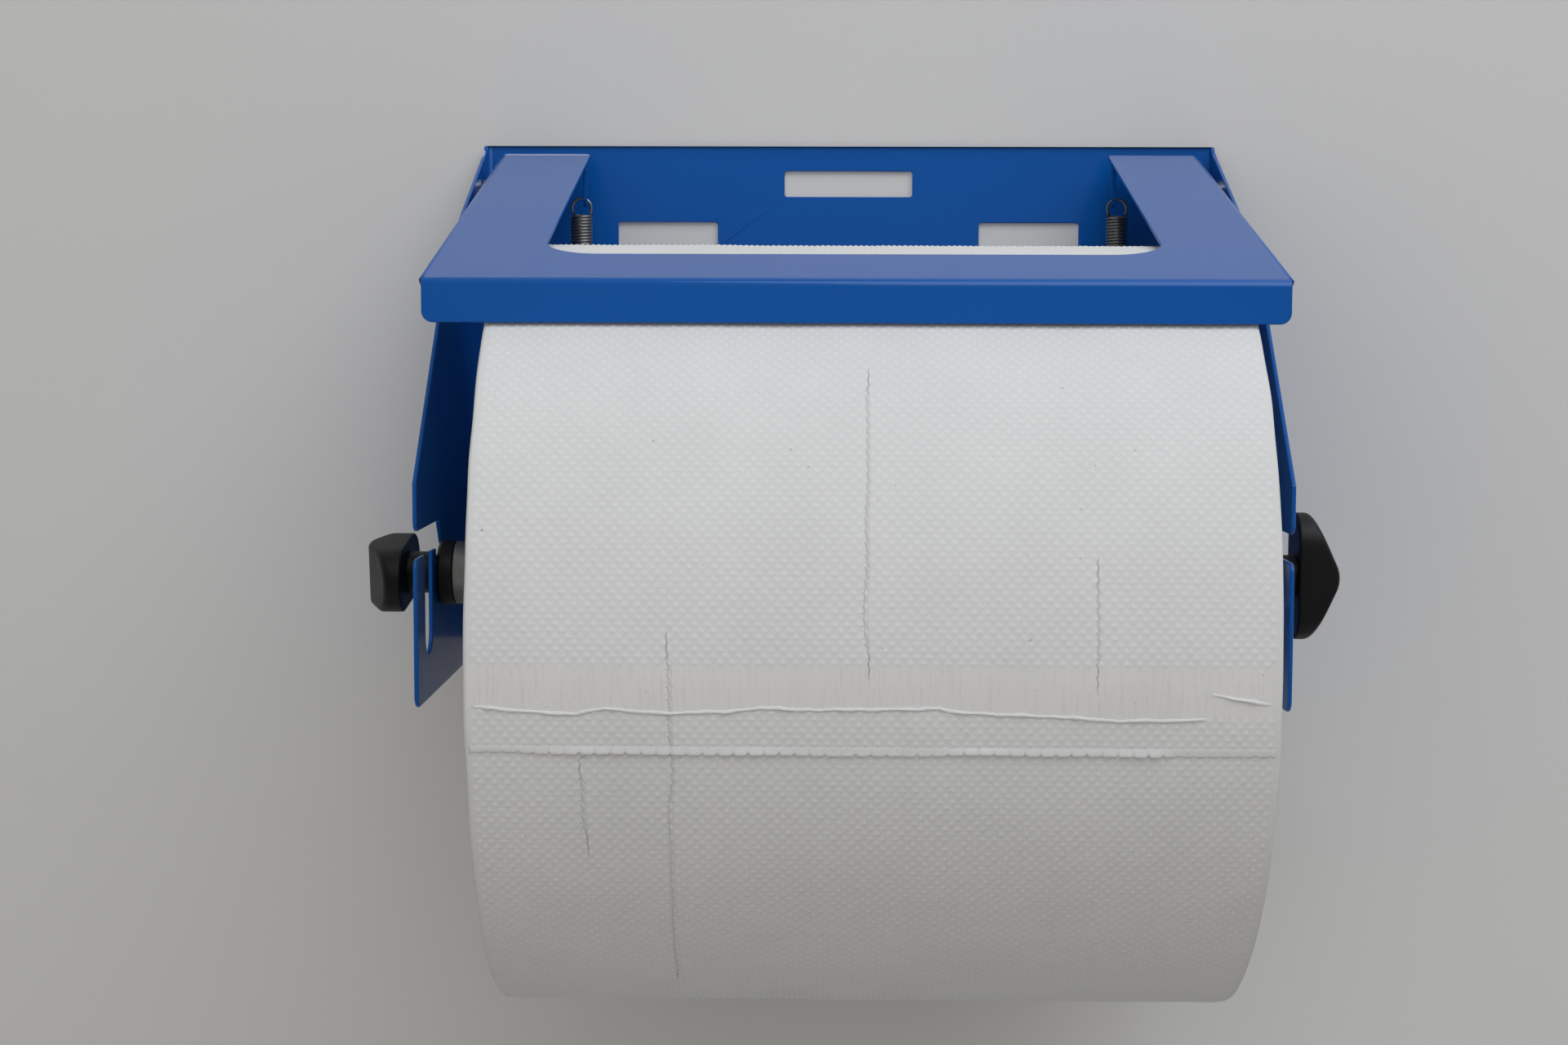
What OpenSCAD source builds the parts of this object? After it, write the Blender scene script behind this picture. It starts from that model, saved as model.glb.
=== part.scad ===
// Wall holder for a wide paper roll, with a sprung tear-off frame.
// Millimetres. X runs to the right, Y towards the wall, Z up.
// The origin is on the wall face, at the centre of the four screw holes.

/* [Bracket] */
// width over the two side plates
bracket_w = 400; // [360:5:480]
// how far the side plates stand out from the wall
bracket_depth = 250; // [225:5:300]
// height of the back plate
bracket_h = 272; // [250:2:330]
// thickness of all the bent sheet
sheet = 2; // [1.5:0.25:2.5]
// outside radius of the two upright bends
bend_r = 4; // [3:0.5:6]
// slope of the rear part of a side plate's top edge, in degrees
rear_slope = 22.5; // [15:0.5:30]
// height of the upright front edge above the mouth
arm_tip_h = 22.5; // [12:0.5:30]

/* [Wall fixing] */
// distance between the two upright rows of screw holes
screw_pitch_x = 200; // [120:5:240]
// distance between the upper and the lower screw holes
screw_pitch_z = 160; // [100:5:180]
// diameter of a screw hole
screw_hole_d = 6.5; // [4.5:0.5:8.5]
// distance of the upper screw holes below the top edge
screw_drop = 76; // [70:1:90]

/* [Back openings] */
// length of the middle opening
upper_slot_w = 70; // [40:1:80]
// length of each outer opening
lower_slot_w = 54.6; // [30:0.2:56]
// height of the three openings
slot_h = 13.8; // [8:0.2:20]
// distance of the middle opening below the top edge
upper_slot_drop = 13.4; // [8:0.2:16]
// distance of the outer openings below the top edge
lower_slot_drop = 41.3; // [36:0.1:48]
// distance of an outer opening from the middle
lower_slot_x = 71.8; // [62:0.1:80]

/* [Axle seats] */
// width of the strip in front of the front slot
strip_w = 22.5; // [16:0.5:30]
// width of the front slot and of the rear seat
seat_w = 20.5; // [17:0.5:24]
// width of the finger between the slot and the seat
finger_w = 12.5; // [9:0.5:16]
// height of the mouth the rod goes in through
mouth_h = 12.6; // [12.4:0.1:14]
// distance of the rod's centre below the floor of the mouth
seat_drop = 12.6; // [11:0.1:20]
// height of the rod's centre above the lower edge of the bracket
axle_floor = 56; // [48:1:70]
// how far the front slot goes below the rear seat
slot_extra = 28.5; // [10:0.5:34]

/* [Axle] */
// diameter of the threaded rod
rod_d = 12; // [10:0.5:12]
// outside diameter of the tube the roll hangs on
tube_d = 30; // [26:1:40]
// wall of that tube
tube_wall = 2; // [1:0.25:3]
// length of the collar's head
collar_t = 7.5; // [5:0.5:10]

/* [Knobs] */
// length of a knob's wing
knob_len = 61; // [45:1:70]
// width of a knob's wing
knob_w = 30.6; // [24:0.2:34]
// thickness at the middle of the wing
knob_t = 19.5; // [15:0.5:24]
// length of the hub between the wing and the plate
hub_t = 12; // [8:0.5:14]
// diameter of the hub
hub_d = 20; // [18.5:0.5:24]
// slope of the two halves of the wing's outer face, in degrees
wing_slope = 24.5; // [10:0.5:28]
// radius of the ridge between them
ridge_r = 15; // [8:1:18]
// turn of the left knob from upright, in degrees
knob_turn_left = 98; // [0:1:180]
// turn of the right knob from upright, in degrees
knob_turn_right = 0; // [0:1:180]

/* [Roll] */
// inside diameter of the cardboard core
core_id = 76; // [60:1:86]
// wall of the core
core_wall = 4; // [2:0.5:6]
// room beside the roll, both sides together, between the outsides of the plates
roll_side_room = 68; // [60:1:200]
// how far the roll sits to the right of the middle
roll_shift = 6.7; // [-8:0.1:8]
// gap between the roll and the back plate
roll_back_gap = 2.4; // [2:0.1:60]

/* [Tear-off frame] */
// gap between the frame and the outside of each side plate
frame_inset = 10.5; // [9:0.5:16]
// width of each arm
arm_w = 49; // [30:1:60]
// width of the front band
band_w = 46; // [30:1:60]
// how far the front bend stands in front of the side plates
frame_reach = 39; // [20:1:50]
// depth of the side flanges
side_flange = 9; // [6:0.5:12]
// radius of the window's two front corners
window_r = 25; // [4:1:30]
// gap between the frame's sheet and the highest part of the roll
frame_gap = 2.6; // [2:0.1:10]
// distance from the wall to the hinge bolts
hinge_y = 24; // [22:0.5:30]
// distance of the hinge bolts below the top edge
hinge_drop = 24; // [22:0.5:26]
// distance from the hinge bolts up to the frame's top face
hinge_h = 16; // [12:0.5:16.5]
// diameter of the hinge bolts
bolt_d = 6; // [5:0.5:6]

/* [Springs] */
// outside diameter of the coil
coil_d = 12; // [9:0.5:13]
// wire thickness
wire_d = 1.6; // [1.2:0.1:1.8]
// length of the close-wound coil
coil_len = 60; // [45:1:70]
// distance from the wall to the springs
spring_y = 32; // [30:0.5:36]

/* [Hidden] */
$fn = 96;

fit = 0.05;         // radial room of a shaft in its hole
gap = 0.3;          // room between faces that touch
corner_r = 6;       // rounded corners of the side plates
slot_r = 1.5;       // rounded corners of the back openings
hole_rim = 2;       // sheet left around a hook hole
hook_hole_d = 4.4;  // hole a spring hook goes through

top_z = screw_drop + screw_pitch_z / 2;
bottom_z = top_z - bracket_h;
plate_x = bracket_w / 2;
inner_x = plate_x - sheet;

slot_y = -(bracket_depth - strip_w - seat_w / 2);
axle_y = slot_y + seat_w + finger_w;
axle_z = bottom_z + axle_floor;
mouth_floor = axle_z + seat_drop;
mouth_top = mouth_floor + mouth_h;
seat_bottom = axle_z - rod_d / 2 - gap;
slot_bottom = seat_bottom - slot_extra;

roll_r = -axle_y - sheet - roll_back_gap;
roll_w = bracket_w - roll_side_room;
roll_z = axle_z - (core_id - tube_d) / 2 + gap;
core_r = core_id / 2 + core_wall;

frame_x = plate_x - frame_inset;
arm_x = frame_x - arm_w;
pin_y = -hinge_y;
pin_z = top_z - hinge_drop;
frame_rear = 14;    // how far the sheet runs back past the hinge bolts
roll_ahead = pin_y - axle_y;
roll_below = pin_z - roll_z;
roll_reach = sqrt(roll_ahead * roll_ahead + roll_below * roll_below);
tilt = acos((roll_r + frame_gap + sheet - hinge_h) / roll_reach) - atan2(roll_ahead, roll_below);
bend_y = -(bracket_depth + frame_reach);
band_len = (pin_y - bend_y) / cos(tilt);

spring_x = arm_x + 3.3;
coil_r = (coil_d - wire_d) / 2;
tab_dx = spring_x - arm_x - sheet / 2;
hook_rise = sqrt(coil_r * coil_r - tab_dx * tab_dx);
upper_hook_z = top_z - 35;
hook_lift = coil_r - wire_d;    // the end ring dips one wire into the coil
coil_top = upper_hook_z - hook_lift;
lower_hook_z = coil_top - coil_len - hook_lift;

collar_x = inner_x - gap;
tube_half = collar_x - collar_t - gap;
knob_x = plate_x + gap;
rod_half = knob_x + 20;
insert_len = 20;
insert_d = hub_d - 4;

// ---------- shared helpers ----------

// draws a flat (Y, Z) shape across the whole width w, centred on X = 0
module across(w) {
    rotate([90, 0, 90])
        translate([0, 0, -w / 2])
            linear_extrude(w)
                children();
}

// a round bar along X between two X positions
module x_bar(x1, x2, d) {
    translate([x1, 0, 0])
        rotate([0, 90, 0])
            cylinder(h = x2 - x1, d = d);
}

// repeats a piece on the left side of the object
module both_sides() {
    children();
    mirror([1, 0, 0]) children();
}

// the waste cut away at a rounded corner whose body lies towards +x, +y
module corner_waste(r, past = 1) {
    difference() {
        translate([-past, -past]) square([r + past, r + past]);
        translate([r, r]) circle(r);
    }
}

// a rectangle with four rounded corners
module rounded_box(w, h, r) {
    union() {
        translate([r, 0]) square([w - 2 * r, h]);
        translate([0, r]) square([w, h - 2 * r]);
        for (x = [r, w - r])
            for (y = [r, h - r])
                translate([x, y]) circle(r);
    }
}

// ---------- wall bracket: one sheet bent to a channel ----------

knee = (mouth_top + arm_tip_h + bracket_depth - top_z + sheet) / (1 - tan(rear_slope));

module side_outline() {
    front_top = mouth_top + arm_tip_h;
    difference() {
        polygon([
            [1, top_z + 1],
            [-bend_r, top_z],
            [-bend_r - 0.5, top_z - sheet],
            [-knee, top_z - sheet - knee * tan(rear_slope)],
            [-bracket_depth, front_top],
            [-bracket_depth, bottom_z],
            [1, bottom_z]
        ]);
        translate([-bracket_depth, bottom_z]) corner_waste(corner_r);
    }
}

// the mouth, the front slot and the rear seat, cut through both side plates
module seat_cut() {
    seat_back = axle_y + seat_w / 2;
    union() {
        translate([-bracket_depth - 5, mouth_floor])
            square([bracket_depth + 5 + axle_y, mouth_h]);
        translate([slot_y - seat_w / 2, slot_bottom + seat_w / 2])
            square([seat_w, mouth_floor - slot_bottom - seat_w / 2 + 1]);
        translate([slot_y, slot_bottom + seat_w / 2]) circle(d = seat_w);
        translate([axle_y - seat_w / 2, seat_bottom + seat_w / 2])
            square([seat_w, mouth_floor - seat_bottom - seat_w / 2]);
        translate([axle_y, seat_bottom + seat_w / 2]) circle(d = seat_w);
        polygon([
            [axle_y - 1, mouth_floor - 1],
            [seat_back, mouth_floor - 1],
            [axle_y - 1, mouth_top]
        ]);
        translate([-bracket_depth, mouth_top]) corner_waste(corner_r - 1);
        translate([-bracket_depth, mouth_floor]) mirror([0, 1]) corner_waste(corner_r - 1);
    }
}

module channel() {
    difference() {
        linear_extrude(top_z - bottom_z)
            difference() {
                union() {
                    translate([-plate_x, -bracket_depth]) square([bracket_w, bracket_depth - bend_r]);
                    translate([-plate_x + bend_r, -2 * bend_r]) square([bracket_w - 2 * bend_r, 2 * bend_r]);
                    for (s = [-1, 1])
                        translate([s * (plate_x - bend_r), -bend_r]) circle(bend_r);
                }
                translate([-inner_x, -bracket_depth - 1])
                    square([2 * inner_x, bracket_depth + 1 - bend_r]);
                translate([-plate_x + bend_r, -2 * bend_r])
                    square([bracket_w - 2 * bend_r, 2 * bend_r - sheet]);
                for (s = [-1, 1])
                    translate([s * (plate_x - bend_r), -bend_r]) circle(bend_r - sheet);
            }
    }
}

module back_opening(x, drop, w) {
    translate([x, 5, top_z - drop - slot_h])
        rotate([90, 0, 0])
            linear_extrude(20)
                rounded_box(w, slot_h, slot_r);
}

module spring_anchor() {
    tab_top = lower_hook_z - hook_rise + hook_hole_d / 2 + hole_rim;
    translate([arm_x + sheet / 2, 0, 0])
        across(sheet)
            difference() {
                union() {
                    translate([-spring_y, tab_top - 14]) square([spring_y - 1, 14]);
                    translate([-spring_y, tab_top - 7]) circle(7);
                }
                translate([-spring_y, lower_hook_z - hook_rise]) circle(d = hook_hole_d);
            }
}

module wall_bracket() {
    color("royalblue")
    union() {
        difference() {
            intersection() {
                translate([0, 0, bottom_z]) channel();
                across(bracket_w + 2) side_outline();
            }
            across(bracket_w + 20) seat_cut();
            back_opening(-upper_slot_w / 2, upper_slot_drop, upper_slot_w);
            back_opening(lower_slot_x, lower_slot_drop, lower_slot_w);
            back_opening(-lower_slot_x - lower_slot_w, lower_slot_drop, lower_slot_w);
            for (x = [-1, 1])
                for (z = [-1, 1])
                    translate([x * screw_pitch_x / 2, 5, z * screw_pitch_z / 2])
                        rotate([90, 0, 0])
                            cylinder(h = 20, d = screw_hole_d);
            translate([0, pin_y, pin_z])
                x_bar(-plate_x - 5, plate_x + 5, bolt_d + 2 * fit);
        }
        both_sides() spring_anchor();
    }
}

// ---------- hinge: a bolt, a spacer, a washer and a nut on each side ----------

washer_t = 1.2;
nut_t = 5;
head_t = 2.6;
flange_in = frame_x - sheet;
washer_out = flange_in - gap;
nut_out = washer_out - washer_t - 0.1;

module at_hinge() {
    translate([0, pin_y, pin_z])
        both_sides()
            children();
}

module hinge_bolts() {
    color("silver")
    at_hinge() {
        union() {
            x_bar(nut_out - nut_t - 1, plate_x + 1, bolt_d);
            x_bar(plate_x + 0.1, plate_x + 0.1 + head_t, bolt_d + 5);
        }
    }
}

module hinge_spacers() {
    color("silver")
    at_hinge()
        difference() {
            x_bar(frame_x + gap, inner_x - gap, bolt_d + 3);
            x_bar(frame_x - 1, inner_x + 1, bolt_d + 2 * fit);
        }
}

module hinge_washers() {
    color("silver")
    at_hinge()
        difference() {
            x_bar(washer_out - washer_t, washer_out, 12.5);
            x_bar(washer_out - washer_t - 1, washer_out + 1, bolt_d + 2 * fit);
        }
}

module hinge_nuts() {
    color("silver")
    at_hinge()
        difference() {
            translate([nut_out - nut_t, 0, 0])
                rotate([0, 90, 0])
                    cylinder(h = nut_t, d = 11.5, $fn = 6);
            x_bar(nut_out - nut_t - 1, nut_out + 1, bolt_d + 2 * fit);
        }
}

// ---------- tear-off frame: one sheet with a window, flanges and two spring tabs ----------

// places a shape drawn along the frame: Y backwards and Z up from the hinge bolts
module frame_space() {
    translate([0, pin_y, pin_z])
        rotate([tilt, 0, 0])
            children();
}

front_r = 4;        // outside radius of the front bend
side_r = 3;         // outside radius of the side bends
ear_r = 9;          // round end of the side flange about the hinge bolt
ease = 0.01;        // how far the upright flange stays inside its bend's tangent
side_end = -band_len + 2;   // where the side flanges stop behind the front bend
front_half = frame_x - sheet;
flange_y = bend_y - (hinge_h - front_r) * sin(tilt) - front_r + sheet;
flange_foot = roll_z + sqrt(pow(roll_r + gap, 2) - pow(flange_y - axle_y, 2)) + 0.1;
bend_z = pin_z + (hinge_h - front_r) * cos(tilt) - band_len * sin(tilt);
flange_len = bend_z - flange_foot;

// the flat sheet with both side flanges, as seen from the front
module frame_section() {
    difference() {
        union() {
            translate([-frame_x + side_r, hinge_h - sheet]) square([2 * (frame_x - side_r), sheet]);
            for (s = [-1, 1]) {
                translate([s * (frame_x - side_r), hinge_h - side_r]) circle(side_r);
                translate([s * (frame_x - sheet / 2) - sheet / 2, -ear_r])
                    square([sheet, hinge_h - side_r + ear_r]);
            }
        }
        for (s = [-1, 1])
            translate([s * (frame_x - side_r), hinge_h - side_r]) circle(side_r - sheet);
        translate([-frame_x + sheet, -ear_r - 1])
            square([2 * (frame_x - sheet), hinge_h - side_r + ear_r + 1]);
        translate([-frame_x + side_r, 0])
            square([2 * (frame_x - side_r), hinge_h - sheet]);
    }
}

// the depth of the side flanges along the frame, with an ear at the hinge bolt
module flange_outline() {
    union() {
        polygon([
            [frame_rear, hinge_h + 1],
            [frame_rear, hinge_h - side_flange],
            [ear_r, 0],
            [-ear_r, 0],
            [-2 * ear_r, hinge_h - side_flange],
            [side_end + side_flange, hinge_h - side_flange],
            [side_end, hinge_h - sheet],
            [side_end, hinge_h + 1]
        ]);
        circle(ear_r);
    }
}

// the front bend and the upright tear flange, as seen from the side
module front_section() {
    inner_r = front_r - sheet;
    translate([-band_len, hinge_h - front_r])
        difference() {
            union() {
                square([5, front_r]);
                circle(front_r);
                rotate(-tilt) translate([-front_r + ease, -flange_len]) square([front_r, flange_len]);
            }
            union() {
                translate([0, -front_r]) square([6, front_r + inner_r]);
                circle(inner_r);
                rotate(-tilt)
                    translate([-inner_r + ease, -flange_len - 1])
                        square([2 * front_r, flange_len + 1]);
            }
        }
}

module front_flange() {
    difference() {
        frame_space()
            across(2 * front_half)
                front_section();
        for (s = [0, 1])
            mirror([s, 0, 0])
                translate([-front_half, 20 + bend_y, flange_foot])
                    rotate([90, 0, 0])
                        linear_extrude(60)
                            corner_waste(5);
        // relief notches where the side bends stop
        frame_space()
            both_sides()
                translate([frame_x - side_r, -band_len, hinge_h - side_r])
                    cube([2 * side_r, 10, 2 * side_r]);
    }
}

module spring_tab() {
    hole_z = upper_hook_z + hook_rise;
    sheet_z = pin_z + (hinge_h - sheet / 2) / cos(tilt) - (spring_y + pin_y) * tan(tilt);
    translate([arm_x + sheet / 2, 0, 0])
        across(sheet)
            difference() {
                union() {
                    translate([-spring_y, hole_z]) circle(hook_hole_d / 2 + hole_rim);
                    translate([-spring_y - hook_hole_d / 2 - hole_rim, hole_z])
                        square([hook_hole_d + 2 * hole_rim, sheet_z - hole_z]);
                }
                translate([-spring_y, hole_z]) circle(d = hook_hole_d);
            }
}

module frame_window() {
    back = frame_rear + 5;
    front = -band_len + band_w;
    translate([0, 0, hinge_h - 6])
        linear_extrude(12)
            difference() {
                union() {
                    translate([-arm_x, front]) square([2 * arm_x, back - front]);
                    for (s = [0, 1])
                        mirror([s, 0])
                            translate([-arm_x, frame_rear])
                                mirror([1, 1])
                                    corner_waste(3);
                }
                for (s = [0, 1])
                    mirror([s, 0])
                        translate([-arm_x, front]) corner_waste(window_r, 0);
            }
}

module tear_frame() {
    color("cornflowerblue")
    union() {
        frame_space()
            difference() {
                intersection() {
                    translate([0, frame_rear, 0])
                        rotate([90, 0, 0])
                            linear_extrude(band_len + frame_rear)
                                frame_section();
                    across(bracket_w) flange_outline();
                }
                frame_window();
                x_bar(-plate_x, plate_x, bolt_d + 2 * fit);
            }
        front_flange();
        both_sides() spring_tab();
    }
}

// ---------- springs: a close-wound coil with a hook at each end ----------

module hook(z) {
    translate([spring_x, -spring_y, z])
        rotate([90, 0, 0])
            rotate_extrude()
                translate([coil_r, 0]) circle(d = wire_d, $fn = 32);
}

module coil() {
    turns = ceil(coil_len / (wire_d * 0.97));
    translate([spring_x, -spring_y, coil_top])
        rotate_extrude()
            for (i = [0 : turns])
                translate([coil_r, -i * coil_len / turns]) circle(d = wire_d, $fn = 32);
}

module spring() {
    union() {
        coil();
        hook(upper_hook_z);
        hook(lower_hook_z);
    }
}

module spring_left() {
    color("dimgray") mirror([1, 0, 0]) spring();
}

module spring_right() {
    color("dimgray") spring();
}

// ---------- axle: a tube on a threaded rod, with a collar at each end ----------

module on_axle() {
    translate([0, axle_y, axle_z]) children();
}

module axle_rod() {
    color("silver") on_axle() x_bar(-rod_half, rod_half, rod_d);
}

module axle_tube() {
    color("gray")
    on_axle()
        difference() {
            x_bar(-tube_half, tube_half, tube_d);
            x_bar(-tube_half - 1, tube_half + 1, tube_d - 2 * tube_wall);
        }
}

module collar() {
    difference() {
        union() {
            x_bar(collar_x - collar_t, collar_x, tube_d + 1);
            x_bar(tube_half - 22, collar_x - 1, tube_d - 2 * tube_wall - 2 * fit);
        }
        x_bar(tube_half - 30, collar_x + 1, rod_d + 2 * fit);
    }
}

module collar_left() {
    color("black") on_axle() mirror([1, 0, 0]) collar();
}

module collar_right() {
    color("black") on_axle() collar();
}

// ---------- knobs: a winged plastic knob moulded on a threaded insert ----------

// the wing from the side: X outwards from the hub, Y along the wing
module wing_profile() {
    ridge_x = knob_t - ridge_r;
    edge_x = ridge_x + ridge_r / cos(wing_slope) - knob_len / 2 * tan(wing_slope);
    tip_x = ridge_x + ridge_r * cos(wing_slope);
    tip_y = ridge_r * sin(wing_slope);
    union() {
        translate([ridge_x, 0]) circle(ridge_r);
        polygon([
            [0, -knob_len / 2],
            [edge_x, -knob_len / 2],
            [tip_x, -tip_y],
            [tip_x, tip_y],
            [edge_x, knob_len / 2],
            [0, knob_len / 2]
        ]);
    }
}

module knob() {
    half = (knob_len - knob_w) / 2;
    wing_x = knob_x + hub_t;
    difference() {
        union() {
            x_bar(knob_x, wing_x + 1, hub_d);
            intersection() {
                translate([wing_x, 0, 0])
                    rotate([90, 0, 90])
                        linear_extrude(knob_t)
                            union() {
                                translate([-knob_w / 2, -half]) square([knob_w, 2 * half]);
                                for (s = [-1, 1])
                                    translate([0, s * half]) circle(d = knob_w);
                            }
                translate([wing_x, knob_w, 0])
                    rotate([90, 0, 0])
                        linear_extrude(2 * knob_w)
                            wing_profile();
            }
        }
        x_bar(knob_x - 1, knob_x + insert_len + 1, insert_d + 2 * fit);
    }
}

module insert() {
    difference() {
        x_bar(knob_x + 0.5, knob_x + insert_len, insert_d);
        x_bar(knob_x - 1, knob_x + insert_len + 1, rod_d + 2 * fit);
    }
}

module knob_left() {
    color("#151515")
    on_axle()
        rotate([knob_turn_left, 0, 0]) mirror([1, 0, 0]) knob();
}

module knob_right() {
    color("#151515")
    on_axle()
        rotate([knob_turn_right, 0, 0]) knob();
}

module insert_left() {
    color("goldenrod") on_axle() mirror([1, 0, 0]) insert();
}

module insert_right() {
    color("goldenrod") on_axle() insert();
}

// ---------- paper roll on its cardboard core ----------

module on_roll() {
    translate([roll_shift, axle_y, roll_z]) children();
}

module roll_core() {
    color("burlywood")
    on_roll()
        difference() {
            x_bar(-roll_w / 2 + 1, roll_w / 2 - 1, 2 * core_r);
            x_bar(-roll_w / 2, roll_w / 2, core_id);
        }
}

module paper_roll() {
    color("whitesmoke")
    on_roll()
        difference() {
            x_bar(-roll_w / 2, roll_w / 2, 2 * roll_r);
            x_bar(-roll_w / 2 - 1, roll_w / 2 + 1, 2 * core_r + 2 * fit);
        }
}

wall_bracket();
hinge_bolts();
hinge_spacers();
hinge_washers();
hinge_nuts();
tear_frame();
spring_left();
spring_right();
axle_rod();
axle_tube();
collar_left();
collar_right();
knob_left();
knob_right();
insert_left();
insert_right();
roll_core();
paper_roll();
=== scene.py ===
import math

import bmesh
import bpy
import numpy as np
from mathutils import Matrix, Vector


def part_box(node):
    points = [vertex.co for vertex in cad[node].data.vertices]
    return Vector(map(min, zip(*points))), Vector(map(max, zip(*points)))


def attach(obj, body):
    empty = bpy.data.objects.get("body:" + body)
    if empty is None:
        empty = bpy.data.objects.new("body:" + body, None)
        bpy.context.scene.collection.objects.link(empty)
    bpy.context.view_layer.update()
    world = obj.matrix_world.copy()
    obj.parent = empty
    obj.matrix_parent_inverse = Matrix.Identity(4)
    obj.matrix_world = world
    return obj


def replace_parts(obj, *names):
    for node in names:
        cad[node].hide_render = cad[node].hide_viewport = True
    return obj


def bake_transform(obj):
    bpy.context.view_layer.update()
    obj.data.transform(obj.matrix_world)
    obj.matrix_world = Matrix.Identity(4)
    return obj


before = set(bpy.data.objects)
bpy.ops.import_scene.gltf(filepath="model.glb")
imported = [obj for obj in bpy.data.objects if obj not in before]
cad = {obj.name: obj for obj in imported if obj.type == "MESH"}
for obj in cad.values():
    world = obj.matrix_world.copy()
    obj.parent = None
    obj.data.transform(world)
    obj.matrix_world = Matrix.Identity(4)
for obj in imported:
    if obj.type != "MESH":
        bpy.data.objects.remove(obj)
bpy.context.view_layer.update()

# ---------------------------------------------------------------------------------------
# Camera. It stands in front of the holder, a little above its middle, and looks slightly
# down and to the left, as a person standing before the wall does.

camera = bpy.data.objects.new("camera", bpy.data.cameras.new("camera"))
camera.data.lens = 55.3
camera.data.sensor_width = 36
camera_turn = Matrix.Rotation(math.radians(0.847), 4, "Z")
camera_tilt = Matrix.Rotation(math.radians(90 - 4.899), 4, "X")
camera_roll = Matrix.Rotation(math.radians(0.16), 4, "Z")
camera_place = Matrix.Translation((-0.0151, -1.33694, 0.06346))
camera.matrix_world = camera_place @ camera_turn @ camera_tilt @ camera_roll
bpy.context.scene.collection.objects.link(camera)
bpy.context.scene.camera = camera

# ---------------------------------------------------------------------------------------
# Studio. A painted wall that the holder hangs on, a pale floor well below it, and soft
# light from above. The wall and the floor are seen from their front sides only.

WALL_GAP = 0.0003
FLOOR_Z = -1.2
STUDIO_HALF = 5.0


def studio_plane(name, corners, color, mottle):
    mesh = bpy.data.meshes.new(name)
    mesh.from_pydata(corners, [], [(0, 1, 2, 3)])
    plane = bpy.data.objects.new(name, mesh)
    bpy.context.scene.collection.objects.link(plane)
    paint = bpy.data.materials.new(name + "_paint")
    paint.use_nodes = True
    nodes, links = paint.node_tree.nodes, paint.node_tree.links
    surface = nodes["Principled BSDF"]
    surface.inputs["Roughness"].default_value = 0.75
    surface.inputs["Specular IOR Level"].default_value = 0.25
    clouds = nodes.new("ShaderNodeTexNoise")
    clouds.inputs["Scale"].default_value = 1.6
    clouds.inputs["Detail"].default_value = 5
    shades = nodes.new("ShaderNodeMix")
    shades.data_type = "RGBA"
    shades.inputs["A"].default_value = (*[c * (1 - mottle) for c in color], 1)
    shades.inputs["B"].default_value = (*[c * (1 + mottle) for c in color], 1)
    place = nodes.new("ShaderNodeTexCoord")
    links.new(place.outputs["Object"], clouds.inputs["Vector"])
    links.new(clouds.outputs["Fac"], shades.inputs["Factor"])
    links.new(shades.outputs["Result"], surface.inputs["Base Color"])
    # the side turned away from the object lets the view through, and so does the part of the
    # wall that nearly touches the object, so that light reaches the back of the bracket
    facing = nodes.new("ShaderNodeNewGeometry")
    path = nodes.new("ShaderNodeLightPath")
    near = nodes.new("ShaderNodeMath")
    near.operation = "LESS_THAN"
    near.inputs[1].default_value = 0.02
    see_through = nodes.new("ShaderNodeMath")
    see_through.operation = "MAXIMUM"
    links.new(path.outputs["Ray Length"], near.inputs[0])
    links.new(near.outputs[0], see_through.inputs[0])
    links.new(facing.outputs["Backfacing"], see_through.inputs[1])
    clear = nodes.new("ShaderNodeBsdfTransparent")
    either = nodes.new("ShaderNodeMixShader")
    links.new(see_through.outputs[0], either.inputs["Fac"])
    links.new(surface.outputs["BSDF"], either.inputs[1])
    links.new(clear.outputs["BSDF"], either.inputs[2])
    links.new(either.outputs["Shader"], nodes["Material Output"].inputs["Surface"])
    mesh.materials.append(paint)


studio_plane(
    "wall",
    [
        (-STUDIO_HALF, WALL_GAP, FLOOR_Z),
        (STUDIO_HALF, WALL_GAP, FLOOR_Z),
        (STUDIO_HALF, WALL_GAP, FLOOR_Z + 2 * STUDIO_HALF),
        (-STUDIO_HALF, WALL_GAP, FLOOR_Z + 2 * STUDIO_HALF),
    ],
    (0.70, 0.695, 0.685),
    0.02,
)
studio_plane(
    "floor",
    [
        (-STUDIO_HALF, -2 * STUDIO_HALF, FLOOR_Z),
        (STUDIO_HALF, -2 * STUDIO_HALF, FLOOR_Z),
        (STUDIO_HALF, 2 * STUDIO_HALF, FLOOR_Z),
        (-STUDIO_HALF, 2 * STUDIO_HALF, FLOOR_Z),
    ],
    (0.50, 0.49, 0.47),
    0.02,
)


def soft_light(name, place, target, width, height, power, color):
    light = bpy.data.lights.new(name, "AREA")
    light.shape = "RECTANGLE"
    light.size = width
    light.size_y = height
    light.energy = power
    light.color = color
    lamp = bpy.data.objects.new(name, light)
    lamp.location = place
    away = Vector(place) - Vector(target)
    lamp.rotation_euler = away.to_track_quat("Z", "Y").to_euler()
    bpy.context.scene.collection.objects.link(lamp)
    return lamp


soft_light("sky_light", (1.0, -1.6, 2.3), (0, -0.1, 0), 3.4, 2.0, 58, (0.91, 0.95, 1.0))
room_light = soft_light("room_light", (-0.6, -3.2, 0.5), (0, 0, 0), 2.6, 2.6, 21, (1.0, 0.98, 0.95))
room_light.visible_glossy = False
# the wall keeps this one off everything but the back of the bracket
soft_light("rear_light", (-0.9, 2.4, 1.0), (0, 0, 0), 2.4, 2.4, 30, (1.0, 0.99, 0.97))

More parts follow.
